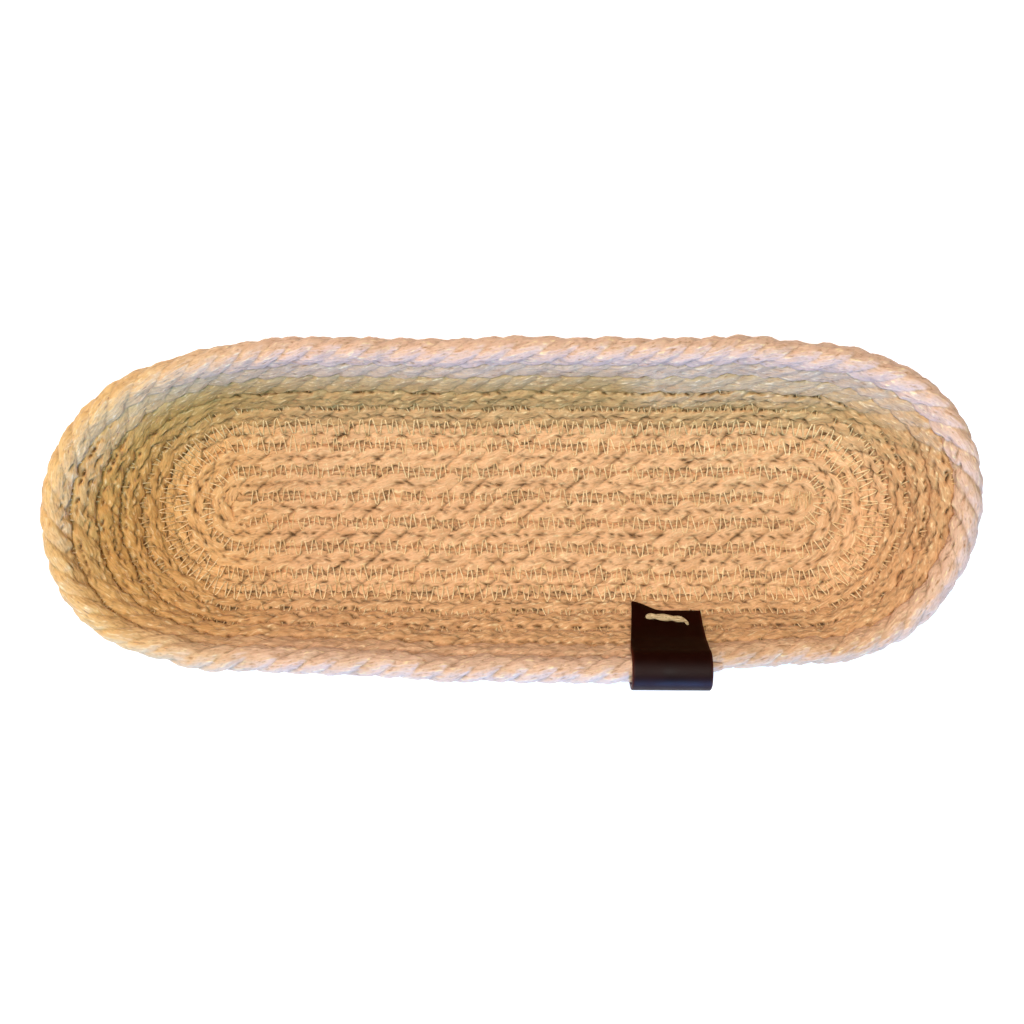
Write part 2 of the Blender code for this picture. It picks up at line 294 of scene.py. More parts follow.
def jute_rope():
    """Jute, a bast fibre spun soft: matt and hairy, straw to tan.

    The fibre attribute runs along the yarns in metres. Streaks of 4 mm by 0.35 mm are mixed with
    patches of 12 mm by 3 mm, and tufts of 2.6 mm by 0.9 mm carry painted shade where they dip and a
    painted highlight where they rise. The mesh says where painted light pales the rim, where painted
    shade darkens the wall and where painted shade darkens the clefts, pits and valleys. Painted light
    makes the jute yellower towards the left end and greyer up the back wall."""
    made, tree, shader = new_material("jute_rope")
    fibre, painted_hollow_shade, paler, painted_wall_shade = (
        node(tree, "ShaderNodeAttribute", {"attribute_name": label}).outputs[output]
        for label, output in (("fibre", "Vector"), ("painted_hollow_shade", "Fac"), ("paler", "Fac"), ("painted_wall_shade", "Fac"))
    )
    noises = []
    for long, wide, detail, rough in ((0.004, 0.00035, 3.0, 0.6), (0.012, 0.003, 2.0, 0.5),
                                      (0.0026, 0.0009, 2.0, 0.5)):
        scaled = node(tree, "ShaderNodeMapping", Vector=fibre, Scale=(1 / long, 1 / wide, 1 / wide))
        noises.append(node(tree, "ShaderNodeTexNoise", Vector=scaled.outputs[0], Scale=1.0,
                           Detail=detail, Roughness=rough).outputs["Fac"])
    streak, patch, tuft = noises
    straw, tone, painted_glint, dark = (
        node(tree, "ShaderNodeValToRGB", stops=stops, Fac=value).outputs["Color"]
        for value, stops in (
            (streak, ((0.28, "#CF9E68"), (0.50, "#E4B986"), (0.74, "#F5D6A8"))),
            (patch, ((0.35, "#DDAD7C"), (0.65, "#F0C998"))),
            # Painted highlight on the high tufts, where the bump rises.
            (tuft, ((0.58, "#000000"), (0.78, "#FFFFFF"))),
            # Painted shade on the low tufts, where the bump dips.
            (tuft, ((0.24, "#FFFFFF"), (0.40, "#000000"))),
        )
    )
    place = node(tree, "ShaderNodeTexCoord").outputs["Object"]
    place = node(tree, "ShaderNodeSeparateXYZ", Vector=place).outputs
    # Where the left end's painted warm cast grows.
    leftward = node(tree, "ShaderNodeMapRange", _0=place["X"], _1=-0.070, _2=-0.125).outputs[0]
    # Where the back wall's painted cool cast grows.
    backward = node(tree, "ShaderNodeMapRange", _0=place["Y"], _1=0.014, _2=0.040).outputs[0]
    # Shares of painted light: pale on the rim, and a cool cast up the back wall.
    rim_glare_share, painted_cool_cast = (
        node(tree, "ShaderNodeMath", {"operation": "MULTIPLY"}, _0=first, _1=second).outputs[0]
        for first, second in ((paler, 0.28), (painted_wall_shade, backward))
    )
    colour = straw
    for share, second, blend in (
        (0.40, tone, "MIX"),
        # Painted light: the rim is mixed towards pale lilac.
        (rim_glare_share, linear("#D9CBCC"), "MIX"),
        # Painted shade: the wall's jute is darkened, as the walls get less light than the floor.
        (painted_wall_shade, linear("#F0EADE"), "MULTIPLY"),
        # Painted light: a warm cast towards the left end, where the jute loses some blue.
        (leftward, linear("#FFFFD6"), "MULTIPLY"),
        # Painted light: a cool cast up the back wall, where the jute loses some red.
        (painted_cool_cast, linear("#EFFFFF"), "MULTIPLY"),
        # Painted highlight: the high tufts are mixed towards pale yellow.
        (painted_glint, linear("#FDE9B4"), "MIX"),
        # Painted shade: the low tufts are mixed towards brown.
        (dark, linear("#B08458"), "MIX"),
        # Painted shade: clefts, pits, gaps and valleys are mixed towards dark brown.
        (painted_hollow_shade, linear("#5E441E"), "MIX"),
    ):
        colour = node(tree, "ShaderNodeMix", {"data_type": "RGBA", "blend_type": blend},
                      _0=share, _6=colour, _7=second).outputs[2]
    coarse = node(tree, "ShaderNodeBump", Strength=0.6, Distance=0.0008, Height=tuft)
    fine = node(tree, "ShaderNodeBump", Strength=0.4, Distance=0.00025, Height=streak,
                Normal=coarse.outputs[0])
    connect(tree, shader, Base_Color=colour, Normal=fine.outputs[0], Roughness=0.62,
            Specular_IOR_Level=0.32, Sheen_Weight=0.18, Sheen_Roughness=0.5,
            Sheen_Tint=linear("#FFF0DC"))
    return made


# The seam's holes, made here because the rope is dented at each: a zigzag of needle holes, which
# lie in turn in one course and in the next.
seam_step = 0.0002
stitch_length = 0.0035  # of one zig and one zag
first_hole = 0.001  # along the seam
hole_reach = 0.0028  # from the seam to a hole
hole_stray, reach_stray = 0.00026, 0.00030  # the usual error of a hole, along and across
long_leg_share = 0.56  # of a stitch's advance
pit_reach = 0.0038  # from the seam to the dimple that the strand makes beyond a hole
pit_share, pit_stray = 0.72, 0.0006  # of the holes that have one, and its error along
pit_long, pit_wide = 0.00105, 0.00040
gap_share = 0.5  # of the stitches with a gap between the courses beside them
gap_ahead = (0.0005, 0.0013)  # from a hole, along the seam
gap_reach = 0.00015  # from the seam, onto each of the two courses
gap_long, gap_wide = 0.00085, 0.00034


def smooth(value):
    """Smooth step of a value held between 0 and 1."""
    value = np.clip(value, 0, 1)
    return value * value * (3 - 2 * value)


def eased(value, start, width):
    """Smooth step from 0 at start to 1 a width further on."""
    return smooth((value - start) / width)


def seam_holes(seam):
    """Distance along and across the seam for every hole, each off its place by a little."""
    draw = np.random.default_rng(31)
    pairs = int(seam[4][-1] / stitch_length) - 1
    starts = np.arange(pairs) * stitch_length + first_hole
    places = np.stack((starts, starts + long_leg_share * stitch_length), axis=1).reshape(-1)
    places = places + draw.normal(0, hole_stray, len(places))
    sides = np.tile((-1.0, 1.0), pairs) * (hole_reach + draw.normal(0, reach_stray, len(places)))
    return places, sides


def dents(line, seam, spots, angles, long, wide, seed):
    """Depth of small dents on the grid of the rope's skin, from 0 to 1.

    Each spot, so far along and across the seam, is placed on the nearest station of the rope and
    at its angle there. A dent is an oval hill of a normal curve, turned a little to the lay, and
    where two meet the deeper one counts."""
    places, sides = spots
    point, outward = (
        np.column_stack([np.interp(places, seam[4], column) for column in columns.T])
        for columns in (seam[0], seam[1])
    )
    point = point + unit(outward) * sides[:, None]
    tree = kdtree.KDTree(len(line[0]))
    for index, place in enumerate(line[0]):
        tree.insert(place, index)
    tree.balance()
    near = np.array([tree.find(place)[1] for place in point])
    away = ((point - line[0][near]) * line[1][near]).sum(axis=1)
    turn = np.arctan2(1.0, away / (rope_radius * 0.95))
    column = np.interp(turn, angles, np.arange(len(angles)))
    draw = np.random.default_rng(seed)
    size, tilt = draw.uniform(0.35, 1.0, len(near)), draw.normal(0.25, 0.25, len(near))
    longer = long * draw.uniform(0.6, 1.5, len(near))
    width = rope_radius * (angles[len(angles) // 2 + 1] - angles[len(angles) // 2])
    depth = np.zeros((len(line[0]), len(angles)))
    for i in range(-6, 7):
        for j in range(-5, 6):
            row = np.clip(near + i, 0, len(depth) - 1)
            slot = np.round(column).astype(int) + j
            aside = (slot - column) * width + tilt * i * rope_step
            apart = np.hypot(i * rope_step / longer, aside / wide)
            np.maximum.at(depth, (row, slot % len(angles)), np.exp(-apart ** 2) * size)
    return depth


rope_line = wound_line(("front",), 0, 0, rope_step)
seam_line = wound_line(("back", "left", "front"), 0.5, 0.5, seam_step)
holes = seam_holes(seam_line)
skin_angles = np.concatenate((
    -math.pi + np.arange(outside_angles) * math.pi / outside_angles,
    np.arange(inside_angles) * math.pi / inside_angles,
))
hole_count = len(holes[0])
draw = np.random.default_rng(36)
pit_kept = draw.uniform(0, 1, hole_count) < pit_share
pit_places = (holes[0] + draw.normal(0, pit_stray, hole_count))[pit_kept]
pit_sides = (np.sign(holes[1]) * (np.abs(holes[1]) + pit_reach - hole_reach))[pit_kept]
pits = dents(rope_line, seam_line, (pit_places, pit_sides), skin_angles, pit_long, pit_wide, 32)
gap_places = np.repeat(holes[0] + draw.uniform(*gap_ahead, hole_count), 2)
gap_sides = np.tile((-gap_reach, gap_reach), hole_count)
gap_kept = np.repeat(draw.uniform(0, 1, hole_count) < gap_share, 2)
gaps = dents(rope_line, seam_line, (gap_places[gap_kept], gap_sides[gap_kept]), skin_angles,
             gap_long, gap_wide, 37)


def regions(line):
    """How far each station is part of the floor, the wall, the rim, the first course's turns, the
    calm back wall, the front wall under the rim, the left wall and the rim's painted light, from 0 to 1.

    Each is a product of smooth steps along the course count, x and y."""
    x, y, course = line[0][:, :1], line[0][:, 1:2], line[3][:, None]
    floor = np.clip((4.3 - course) / 1.5, 0, 1)
    wall = eased(course, 3.6, 0.6) * (1 - eased(course, 6.8, 0.4))
    rim = eased(course, 6.7, 0.4)
    fold = (1 - eased(course, 0.6, 0.4)) * eased(np.abs(x), half_length - 0.002, 0.004)
    calm = eased(course, 4.7, 0.9) * eased(y, 0.012, 0.020)
    front = eased(course, 5.7, 0.6) * eased(-y, 0.020, 0.010)
    left = wall * eased(-x, 0.080, 0.030)
    # Painted light on the rim, weaker towards the left end.
    rim_glare = eased(course, 6.7, 0.6) * (0.4 + 0.6 * eased(x, -0.125, 0.030))
    return floor, wall, rim, fold, calm, front, left, rim_glare


def strands(s, a):
    """The strand under each point: its turn so far, the angle from its middle, and its number.

    Three strands share the rope's round, and all turn about its line once in lay_length, a little
    unevenly."""
    turn = 2 * math.pi * s / lay_length + 0.9 * uneven(s, a * 0, 0.045, 4, 11)
    round_rope = np.mod(a - turn + math.pi / 3, 2 * math.pi)
    third = 2 * math.pi / 3
    return turn, np.mod(round_rope, third) - third / 2, np.floor(round_rope / third)


def rope_skin(line, angles, pits, gaps):
    """Reach of the rope's skin along outward and inward, and its marks: fibre coordinates, painted
    shade in its recesses, painted light on the rim and painted shade on the wall.

    The section is a circle, pressed to a superellipse on each side that has a neighbour. The
    strands stand out from it as three round circles would, with clefts between them. Yarn ridges
    and lumps are added, pits and gaps are taken off, and both ends taper."""
    s, a = np.broadcast_arrays(line[4][:, None], angles[None, :])
    across, up = np.abs(np.cos(a)), np.abs(np.sin(a))
    floor, wall, rim, fold, calm, front, left, rim_glare = regions(line)
    x, y, course = line[0][:, :1], line[0][:, 1:2], line[3][:, None]
    last = (course > 7) | ((course > 6.98) & (y < 0) & (x > rope_end))
    free = last & (np.cos(a) > 0)
    held = np.where(free, 0.0, eased(across, 0.80, 0.17))
    grainy = wall * (1 - calm)

    half = np.where(free, rope_radius, crowd_width * (1 + 0.07 * np.maximum(fold, calm)))
    power = crowd_power - 3.4 * np.maximum(wall, rim) + 2.0 * uneven(s, a, 0.0029, 4, 16) + 2.0 * calm
    power = np.where(free, 2.0, power)
    section = ((across / half) ** power + (up / rope_radius) ** power) ** (-1 / power)

    turn, strand, number = strands(s, a)
    swell = strand_centre * np.cos(strand) - 1
    swell = swell + np.sqrt(strand_circle ** 2 - (strand_centre * np.sin(strand)) ** 2)
    swell = swell * (0.50 + 0.22 * floor + 0.10 * rim) * (1 - 0.5 * fold) * (1 - held)
    cleft = np.exp(-((math.pi / 3 - np.abs(strand)) / (0.17 + 0.05 * rim)) ** 2)
    cleft = cleft * np.clip(0.35 + 1.3 * uneven(s, a, 0.0027, 7, 15), 0, 1.2)
    cleft = cleft * (1 - 0.55 * wall - 0.20 * rim) * (1 - 0.8 * fold) * (1 - 0.6 * calm)
    lay = a - 0.14 * turn + 0.9 * number + 0.10 * np.sin(strand * 2)
    yarn = np.mod(yarns_round * lay / (2 * math.pi) + 0.5 * uneven(s, a, 0.008, 6, 12), 1) * 2 - 1
    yarns = np.sqrt(1 - 0.9 * yarn ** 2) - 0.8
    lumps = (uneven(s, a, 0.0045, 7, 13) * 0.40 + uneven(s, a, 0.0019, 16, 14) * 0.35
             + uneven(s, a, 0.0011, 30, 17) * 0.25)
    lumps = lumps * (1 + 0.5 * np.maximum(grainy, fold))
    pits = pits * (1 + 0.35 * grainy) * (1 - 0.8 * calm) * (1 - 0.8 * front)
    gaps = gaps * (1 - 0.9 * calm) * (1 - 0.8 * front)
    reach = section * (1 + swell) + (yarns * yarn_depth + lumps * lump_depth) * (1 - 0.5 * held)
    reach = reach - cleft_depth * cleft * (1 - held) - pit_depth * pits - gap_depth * gaps
    reach = reach * np.clip(0.30 + 0.70 * (s.max() - s) / end_taper, 0, 1)
    reach = reach * np.sqrt(np.clip((s + nose_shift) / nose_taper, 0, 1))

    # Painted shade: the colour darkens in the valleys between the wall's courses and in the clefts, pits,
    # gaps and yarn grooves. It is painted lighter on the lumps.
    valley = np.where(free, 0.0, eased(across, 0.66, 0.30))
    painted_hollow_shade = (0.50 + 0.04 * floor - 0.20 * rim) * cleft + 0.26 * grainy * valley
    painted_hollow_shade = painted_hollow_shade + 1.10 * pits + 1.60 * gaps - 0.25 * lumps
    painted_hollow_shade = painted_hollow_shade + 0.25 * np.clip(-yarns * 3 - 0.4, 0, 1)
    painted_hollow_shade = np.clip(painted_hollow_shade * (1 - 0.5 * fold) * (1 - 0.25 * left), 0, 1)
    marks = {
        "fibre": np.stack((s, rope_radius * np.cos(lay), rope_radius * np.sin(lay)), axis=-1),
        # Painted shade in the recesses.
        "painted_hollow_shade": painted_hollow_shade[..., None],
        # Painted light on the rim.
        "paler": (rim_glare + a * 0)[..., None],
        # Painted shade on the wall.
        "painted_wall_shade": (wall + a * 0)[..., None],
    }
    return reach * np.cos(a), reach * np.sin(a), marks


def pressed(points):
    """The same points above the table: the last 0.4 mm is squeezed, and nothing goes below it."""
    z, soft = points[..., 2], 0.0004
    points[..., 2] = np.where(z < soft, soft / (2 - np.minimum(z, soft) / soft), z)
    return points


rope_material = jute_rope()
skin_out, skin_in, skin_marks = rope_skin(rope_line, skin_angles, pits, gaps)
rope_pieces = ("rope_floor_middle", "rope_floor_outer", "rope_floor_edge", "rope_foot",
               "rope_wall_low", "rope_wall_middle", "rope_wall_high", "rope_rim")
piece_ends = (-1, 1.02, 2.02, 3.02, 4.02, 5.02, 6.02, 7.02, 9)  # in courses
for piece_name, from_course, to_course in zip(rope_pieces, piece_ends, piece_ends[1:]):
    chosen = np.flatnonzero((rope_line[3] > from_course) & (rope_line[3] <= to_course))
    chosen = np.arange(chosen[0], min(chosen[-1] + 2, len(rope_line[3])))
    rope_piece = tube_mesh(
        piece_name, rope_line[0][None, chosen], rope_line[1][None, chosen],
        rope_line[2][None, chosen], skin_out[None, chosen], skin_in[None, chosen],
        {label: values[chosen] for label, values in skin_marks.items()},
    )
    corners = np.empty(len(rope_piece.data.vertices) * 3, np.float32)
    rope_piece.data.vertices.foreach_get("co", corners)
    rope_piece.data.vertices.foreach_set("co", pressed(corners.reshape(-1, 3)).reshape(-1))
    rope_piece.data.materials.append(rope_material)
    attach(rope_piece, "root")
    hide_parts("rope_coil")


# The loose hairs of the jute: ends of fibre that stand off the rope, a few millimetres long. They
# are drawn 0.1 mm thick, coarser than real ones, so that they show.
hair_count = 2600
hair_stations = 6
hair_radius = 0.00005
shortest_hair, longest_hair = 0.002, 0.0065
lowest_lift, highest_lift = 0.0002, 0.0014  # of a hair's end, off the skin
skin_share = 0.93  # of the rope's radius, where a hair starts
hair_kink = 0.00009


def hairs():
    """The hairs' lines, each from a random place on the skin: a run along the rope, turned a little
    across it, which lifts off the skin by the power 1.5 of its share, with kinks."""
    draw = np.random.default_rng(21)
    station = draw.integers(40, len(rope_line[4]) - 60, hair_count)
    angle = draw.uniform(math.radians(15), math.radians(165), hair_count)
    length = draw.uniform(shortest_hair, longest_hair, hair_count)
    heading = draw.choice((-1, 1), hair_count) * length / rope_step
    drift = draw.normal(0, 0.35, hair_count)
    lift = draw.uniform(lowest_lift, highest_lift, hair_count)
    share = np.linspace(0, 1, hair_stations)[None, :]
    at = np.clip(station[:, None] + heading[:, None] * share, 0, len(rope_line[4]) - 1)
    low = at.astype(int)
    turned = angle[:, None] + drift[:, None] * share
    reach = rope_radius * skin_share + lift[:, None] * share ** 1.5
    point, outward, inward = (column[low] for column in rope_line[:3])
    line = point + outward * (reach * np.cos(turned))[..., None]
    line += inward * (reach * np.sin(turned))[..., None]
    line += draw.normal(0, hair_kink, line.shape) * share[..., None]
    return line


def swept_frame(line, guide):
    """Side and rise of a round tube: side is along cross guide, and rise completes the pair."""
    along = unit(np.gradient(line, axis=-2))
    side = unit(np.cross(along, guide))
    return side, np.cross(side, along)


def round_tube(name, line, guide, radius, corners):
    """Tubes of the given radius at each station, their sides square to the guide."""
    angles = np.arange(corners) * (2 * math.pi / corners)
    side, rise = swept_frame(line, guide)
    reach = np.broadcast_to(radius, line.shape[:2])[..., None]
    return tube_mesh(name, line, side, rise, reach * np.cos(angles), reach * np.sin(angles))


def jute_hair():
    """Single jute fibres: paler and shinier than the spun rope, as each is one smooth filament."""
    made, tree, shader = new_material("jute_hair")
    place = node(tree, "ShaderNodeTexCoord").outputs["Object"]
    tint = node(tree, "ShaderNodeTexNoise", Vector=place, Scale=1 / 0.004).outputs["Fac"]
    straw = node(tree, "ShaderNodeValToRGB", stops=((0.35, "#D9A86F"), (0.65, "#F7DDB2")), Fac=tint)
    connect(tree, shader, Base_Color=straw.outputs["Color"], Roughness=0.6)
    return made


hair_reach = hair_radius * np.linspace(1, 0.5, hair_stations)
loose_hairs = round_tube("loose_hairs", hairs(), np.array((0.0, 0.0, 1.0)), hair_reach, 3)
loose_hairs.data.materials.append(jute_hair())
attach(loose_hairs, "root")
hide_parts("rope_coil")


# The seam. A zigzag lockstitch of waxed thread joins each course to the next. The needle thread
# lies on the inside: each leg crosses the valley between two courses and sinks into the rope on
# its way to the hole. It starts with a nest of back stitches inside the rope's first fold.
thread_radius = 0.00020
leg_reach = 0.0023  # from the seam to where a leg sinks in
leg_stray, leg_drop, leg_sag = 0.00008, 0.00028, 0.00006  # in height
needle_height = 0.00392  # from the rope's line
wall_sink = 0.00125  # by which the legs lie deeper in the wall than in the floor
sunk_height = 0.0026  # at a hole
fold_height = 0.001  # in the turn round the rope's start, where the stitches don't show
nest_stitches = 14
nest_start = -0.0030  # from the right turning centre
nest_rise, nest_stray = 0.0002, 0.00020


def zigzag(seam, holes, height, seed):
    """The thread's line: from hole to hole across the seam, taut between and sunk at each hole.

    While it shows, a leg makes only the middle 60 % of its advance, and every other leg the middle
    third, so that they stand steeply."""
    point, outward, inward, _, along = seam
    draw = np.random.default_rng(seed)
    places, sides = holes
    legs = len(places) - 1
    showing = leg_reach / hole_reach
    share = np.array((0.0, 0.5 - 0.5 * showing, 0.5, 0.5 + 0.5 * showing))
    advance = np.array((0.0, 0.20, 0.5, 0.80))
    advance = 0.5 + (advance - 0.5) * np.where(np.arange(legs) % 2 == 0, 1.0, 0.55)[:, None]
    advance[:, 0] = 0
    stations = places[:-1, None] + np.diff(places)[:, None] * advance
    across = sides[:-1, None] + np.diff(sides)[:, None] * share
    deep = draw.normal(0, leg_stray, (legs, 1)) - np.abs(draw.normal(0, leg_drop, (legs, 1)))
    level = np.abs(np.interp(stations, along, height)) + deep - leg_sag * np.array((0, 0, 1, 0))
    level = np.where(np.arange(4) == 0, np.minimum(level, sunk_height), level) * np.sign(height[0])
    stations, across, level = (values.reshape(-1) for values in (stations, across, level))

    def at(columns):
        return np.column_stack([np.interp(stations, along, column) for column in columns.T])

    rise = unit(at(inward))
    line = at(point) + unit(at(outward)) * across[:, None] + rise * level[:, None]
    return line, rise


def waxed_thread():
    """Waxed linen thread: cream, smooth and slightly glossy, with its twist 0.5 mm long."""
    made, tree, shader = new_material("waxed_thread")
    place = node(tree, "ShaderNodeTexCoord").outputs["Object"]
    tint = node(tree, "ShaderNodeTexNoise", Vector=place, Scale=1 / 0.006).outputs["Fac"]
    cream = node(tree, "ShaderNodeValToRGB", stops=((0.35, "#E6C88E"), (0.65, "#F8E6B4")), Fac=tint)
    twist = node(tree, "ShaderNodeTexNoise", Vector=place, Scale=1 / 0.0005, Detail=1.0).outputs["Fac"]
    bump = node(tree, "ShaderNodeBump", Strength=0.3, Distance=0.00008, Height=twist)
    connect(tree, shader, Base_Color=cream.outputs["Color"], Normal=bump.outputs[0], Roughness=0.5)
    return made


def nest_line():
    """Back stitches at the start of the seam: from side to side of the fold, closely placed."""
    draw = np.random.default_rng(33)
    x = half_length + nest_start + np.cumsum(draw.uniform(0.0002, 0.0011, nest_stitches))
    reach = np.tile((-1.0, 1.0), nest_stitches // 2) * draw.uniform(0.0016, 0.0034, nest_stitches)
    z = first_height + needle_height + draw.normal(nest_rise, nest_stray, nest_stitches)
    return np.column_stack((x, pitch / 2 + reach, z))


needle_level = needle_height - np.interp(seam_line[3], (3.8, 4.8, 6.0), (0, wall_sink, 1.6 * wall_sink))
in_fold = (seam_line[3] < 0.6) & (seam_line[0][:, 0] < -half_length + 0.0015)
needle_level = np.where(in_fold, fold_height, needle_level)
needle_line, needle_rise = zigzag(seam_line, holes, needle_level, 35)
needle_line = np.concatenate((nest_line(), needle_line))[None]
needle_rise = np.concatenate((np.tile((0.0, 0.0, 1.0), (nest_stitches, 1)), needle_rise))[None]
thread_material = waxed_thread()
needle_thread = round_tube("needle_thread_zigzag", needle_line, needle_rise, thread_radius, 5)
needle_thread.data.materials.append(thread_material)
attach(needle_thread, "root")
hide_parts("needle_thread")


# The bobbin thread is the same stitch on the outside of the wall and under the floor, where it is
# pressed into the rope that the basket stands on.
bobbin_floor_height = 0.00262
bobbin_wall_height = 0.00370
bobbin_lift = 0.0001  # off the table
bobbin_level = -np.interp(seam_line[3], (2.5, 3.5), (bobbin_floor_height, bobbin_wall_height))
bobbin_line, bobbin_rise = zigzag(seam_line, holes, bobbin_level, 41)
bobbin_line[:, 2] = np.maximum(bobbin_line[:, 2], thread_radius + bobbin_lift)
bobbin_thread = round_tube("bobbin_thread_zigzag", bobbin_line[None], bobbin_rise[None], thread_radius, 5)
bobbin_thread.data.materials.append(thread_material)
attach(bobbin_thread, "root")
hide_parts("bobbin_thread")


# The tag. A strip of thick, nearly black leather, finished smooth on the outside, folded over the
# rim with its two flaps on the wall. The left corner of the inner flap has curled up.
tag_centre = 0.046  # along X
tag_width = 0.024
tag_flap = 0.0265  # down the wall, from the centre of the rim's rope
tag_longer = 0.0013  # by which the inner flap reaches further than the outer one
tag_step = 0.0005
leather_thickness = 0.0018
tag_clearance = 0.0005  # from the rope to the leather
tag_taper = 0.0017  # by which the left edge draws in at the inner flap's end
curl_height, curl_width, curl_length = 0.0036, 0.0100, 0.0110
edge_round = 0.0005
bridge_reach = 0.00012  # of the wave that the courses press into the leather
raw_width, raw_blend = 0.0007, 0.0006  # of the raw edge and its shading off
rub_blend = 0.006  # past the bend, over which the outer flap gets its gloss


def front_wall(course):
    """Point, climb and inward direction of the front wall at a course, under the tag's middle."""
    low, high = wall_place(course - 0.5, 0.0), wall_place(np.minimum(course + 0.5, rim_course), 0.0)
    out, up = wall_place(course, 0.0)
    run = np.stack((high[0] - low[0], high[1] - low[1]), axis=-1)
    run /= np.linalg.norm(run, axis=-1, keepdims=True)
    zero = np.zeros_like(out)
    point = settled(np.stack((zero + tag_centre, -out, first_height + up), axis=-1))
    climb = np.stack((zero, -run[..., 0], run[..., 1]), axis=-1)
    inward = np.stack((zero, run[..., 1], run[..., 0]), axis=-1)
    return point, climb, inward


def tag_line():
    """Middle line of the folded strip, its normal and its distance from the inner flap's end."""
    offset = rope_radius + tag_clearance + leather_thickness / 2
    down = np.arange(0, tag_flap, tag_step) / pitch
    inner_down = np.arange(0, tag_flap + tag_longer, tag_step) / pitch
    point, climb, inward = front_wall(rim_course - inner_down[::-1])
    inner, inner_normal = point + inward * offset, inward
    rim, rim_climb, rim_inward = (value[-1] for value in (point, climb, inward))
    angle = np.linspace(0, math.pi, 40)[1:-1, None]
    normal = rim_inward * np.cos(angle) + rim_climb * np.sin(angle)
    point, climb, inward = front_wall(rim_course - down)
    line = np.concatenate((inner, rim + normal * offset, point - inward * offset))
    normals = np.concatenate((inner_normal, normal, -inward))
    along = np.concatenate(([0], np.cumsum(np.linalg.norm(np.diff(line, axis=0), axis=1))))
    return line, normals, along


def strip_profile(half_width, half_thickness, corner):
    """Outline of the strip's section: a rectangle with rounded corners, from its right edge on."""
    quarter = np.linspace(0, math.pi / 2, 5)
    flat = np.linspace(-1, 1, 41)[1:-1] * (half_width - corner)
    arcs = [(sx * (half_width - corner), sz * (half_thickness - corner), turn)
            for sx, sz, turn in ((1, 1, 0), (-1, 1, 1), (-1, -1, 2), (1, -1, 3))]
    rounds = [np.column_stack((x + corner * np.cos(quarter + turn * math.pi / 2),
                               z + corner * np.sin(quarter + turn * math.pi / 2)))
              for x, z, turn in arcs]
    top = np.column_stack((flat[::-1], np.full(len(flat), half_thickness)))
    bottom = np.column_stack((flat, np.full(len(flat), -half_thickness)))
    return np.concatenate((rounds[0], top, rounds[1], rounds[2], bottom, rounds[3]))


def dark_leather():
    """Chrome-tanned cowhide, dyed through and waxed: fine pores, nearly no gloss but where the bend
    and the outer flap are rubbed, and a red-brown raw edge. The grain's cells are 0.7 mm across."""
    made, tree, shader = new_material("dark_leather")
    place = node(tree, "ShaderNodeTexCoord").outputs["Object"]
    cells = node(tree, "ShaderNodeTexVoronoi", {"feature": "DISTANCE_TO_EDGE"}, Vector=place,
                 Scale=1 / 0.0007).outputs["Distance"]
    cloud = node(tree, "ShaderNodeTexNoise", Vector=place, Scale=1 / 0.006, Detail=4.0).outputs["Fac"]
    raw, rub = (node(tree, "ShaderNodeAttribute", {"attribute_name": label}).outputs["Fac"]
                for label in ("raw_edge", "rubbed"))
    body = node(tree, "ShaderNodeValToRGB", stops=((0.30, "#190501"), (0.70, "#200803")), Fac=cloud)
    edged = node(tree, "ShaderNodeMix", {"data_type": "RGBA"}, _0=raw, _6=body.outputs["Color"],
                 _7=linear("#6A2C1C"))
    grain = node(tree, "ShaderNodeBump", Strength=0.25, Distance=0.00006, Height=cells)
    rough = node(tree, "ShaderNodeMapRange", Value=cloud, From_Min=0.3, From_Max=0.7, To_Min=0.46,
                 To_Max=0.58)
    gloss = node(tree, "ShaderNodeMapRange", Value=rub, To_Min=0.02, To_Max=0.12)
    connect(tree, shader, Base_Color=edged.outputs[2], Normal=grain.outputs[0],
            Roughness=rough.outputs[0], Specular_IOR_Level=gloss.outputs[0])
    return made


line, normals, along = tag_line()
section = strip_profile(tag_width / 2, leather_thickness / 2, edge_round)
end_round = np.sqrt(np.clip(np.minimum(along, along[-1] - along) / edge_round, 0.02, 1))
thickness_scale = 0.45 + 0.55 * end_round
x_reach = np.tile(section[:, 0], (len(line), 1))
n_reach = section[:, 1][None, :] * thickness_scale[:, None]
x_reach += tag_taper * smooth(1 - along / tag_flap)[:, None] * (0.5 - x_reach / tag_width)
curl = smooth(1 - (x_reach + tag_width / 2 - tag_taper) / curl_width)
curl = curl * smooth(1 - along / curl_length)[:, None]
bridge = bridge_reach * np.sin(2 * math.pi * along / pitch)[:, None]
n_reach = n_reach + curl * curl_height + bridge
raw_edge = eased(np.abs(x_reach), tag_width / 2 - raw_width, raw_blend)
raw_edge = np.maximum(raw_edge * 0.35, smooth(1 - along / raw_blend)[:, None] * 0.8)
rubbed = eased(along, tag_flap, rub_blend)[:, None] + x_reach * 0
across = np.broadcast_to(np.array((1.0, 0.0, 0.0)), line.shape)
leather_tag = tube_mesh("leather_tag_strip", line[None], across[None], normals[None],
                        x_reach[None], n_reach[None],
                        {"raw_edge": raw_edge[..., None], "rubbed": rubbed[..., None]})
leather_tag.data.materials.append(dark_leather())
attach(leather_tag, "root")
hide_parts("leather_tag")


